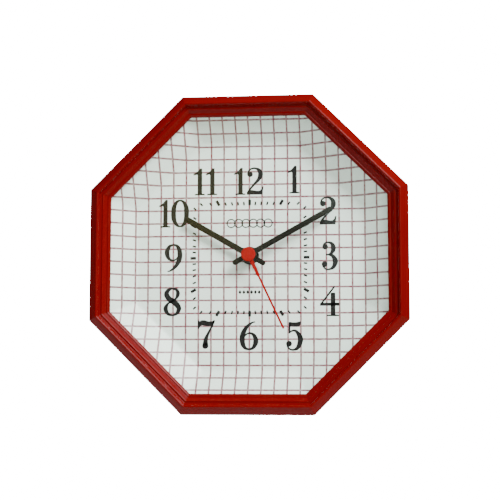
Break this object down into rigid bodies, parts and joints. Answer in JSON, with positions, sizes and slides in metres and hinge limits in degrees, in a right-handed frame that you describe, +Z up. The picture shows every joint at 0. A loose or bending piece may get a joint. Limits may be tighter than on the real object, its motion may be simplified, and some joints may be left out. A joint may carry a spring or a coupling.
{
  "type": "wall clock",
  "caption": "Octagonal wall clock with a stepped red moulded frame, flat lens, dished grid dial, baton hands and a square quartz movement with its gear train behind it.",
  "frame": {"origin": "on the hand axis, in the plane of the wall, which is the rear edge of the frame", "axes": "+Z up as the clock hangs, +X to the right as the dial is read, +Y into the wall, so the dial faces -Y"},
  "size_m": [0.245, 0.0474, 0.245],
  "materials": {
    "red_plastic": "glossy moulded red plastic, slightly softened edges",
    "clear_lens": "clear polished flat lens",
    "dial_sheet": "white enamelled sheet with a printed red grid, black numerals and minute marks",
    "steel_plate": "rolled and stamped steel strip",
    "zinc_steel": "zinc-plated steel",
    "rubber": "matt black rubber",
    "brass": "turned brass",
    "black_oxide": "black oxide on steel",
    "black_plastic": "finely textured black plastic",
    "cream_plastic": "natural acetal",
    "cell_jacket": "printed foil jacket with bare metal ends",
    "contact_strip": "nickel-plated spring strip",
    "board": "green solder mask",
    "chip": "black epoxy drop",
    "copper_wire": "varnished copper winding",
    "lamination": "soft iron plate",
    "magnet": "sintered magnet",
    "black_metal": "semi-gloss black paint on stamped aluminium",
    "red_metal": "satin red paint on stamped aluminium"
  },
  "bodies": {
    "case": {"front_frame": "red_plastic", "rear_ring": "red_plastic", "lens": "clear_lens", "dial": "dial_sheet", "retaining_clips": "steel_plate", "clip_screws": "zinc_steel", "hanger_bracket": "steel_plate", "rubber_washer": "rubber", "flat_washer": "black_oxide", "hex_nut": "black_oxide", "movement_rear_case": "black_plastic", "movement_front_case": "black_plastic", "middle_plate": "cream_plastic", "battery": "cell_jacket", "positive_contact": "contact_strip", "negative_contact": "contact_strip", "circuit_board": "board", "quartz_crystal": "zinc_steel", "controller_chip": "chip", "coil_bobbin": "cream_plastic", "coil_winding": "copper_wire", "stator": "lamination"},
    "second_hand": {"second_hand": "red_metal", "second_hand_boss": "red_metal", "seconds_arbor": "zinc_steel", "seconds_wheel": "cream_plastic"},
    "minute_hand": {"minute_hand": "black_metal", "cannon_pinion": "brass"},
    "hour_hand": {"hour_hand": "black_metal", "hour_wheel": "cream_plastic"},
    "rotor": {"rotor_magnet": "magnet", "rotor_pinion": "cream_plastic"},
    "intermediate_wheel": {"intermediate_wheel": "cream_plastic"},
    "third_wheel": {"third_wheel": "cream_plastic"},
    "centre_wheel": {"centre_wheel": "cream_plastic"},
    "motion_wheel": {"motion_wheel": "cream_plastic"},
    "setting_knob": {"setting_knob": "black_plastic", "setting_wheel": "cream_plastic"}
  },
  "joints": [
    {"name": "second_hand_spin", "type": "hinge", "parent": "case", "child": "second_hand", "pos_m": [0, 0, 0], "axis": [0, 1, 0], "continuous": true},
    {"name": "minute_hand_spin", "type": "hinge", "parent": "case", "child": "minute_hand", "pos_m": [0, 0, 0], "axis": [0, 1, 0], "continuous": true},
    {"name": "hour_hand_spin", "type": "hinge", "parent": "case", "child": "hour_hand", "pos_m": [0, 0, 0], "axis": [0, 1, 0], "continuous": true},
    {"name": "rotor_spin", "type": "hinge", "parent": "case", "child": "rotor", "pos_m": [-0.01386, 0, 0.008], "axis": [0, 1, 0], "continuous": true},
    {"name": "intermediate_wheel_spin", "type": "hinge", "parent": "case", "child": "intermediate_wheel", "pos_m": [-0.00779, 0, 0.0045], "axis": [0, 1, 0], "continuous": true},
    {"name": "third_wheel_spin", "type": "hinge", "parent": "case", "child": "third_wheel", "pos_m": [0.01015, 0, 0.00369], "axis": [0, 1, 0], "continuous": true},
    {"name": "centre_wheel_spin", "type": "hinge", "parent": "case", "child": "centre_wheel", "pos_m": [0, 0, 0], "axis": [0, 1, 0], "continuous": true},
    {"name": "motion_wheel_spin", "type": "hinge", "parent": "case", "child": "motion_wheel", "pos_m": [0.00156, 0, 0.00886], "axis": [0, 1, 0], "continuous": true},
    {"name": "setting_knob_spin", "type": "hinge", "parent": "case", "child": "setting_knob", "pos_m": [-0.00026, 0, 0.0192], "axis": [0, 1, 0], "continuous": true}
  ],
  "couplings": [
    {"joint": "rotor_spin", "follows": "second_hand_spin", "ratio": 30},
    {"joint": "intermediate_wheel_spin", "follows": "second_hand_spin", "ratio": -5},
    {"joint": "third_wheel_spin", "follows": "second_hand_spin", "ratio": -0.13333},
    {"joint": "centre_wheel_spin", "follows": "second_hand_spin", "ratio": 0.016667},
    {"joint": "hour_hand_spin", "follows": "minute_hand_spin", "ratio": 0.083333},
    {"joint": "motion_wheel_spin", "follows": "minute_hand_spin", "ratio": -0.33333},
    {"joint": "setting_knob_spin", "follows": "minute_hand_spin", "ratio": 0.6}
  ]
}
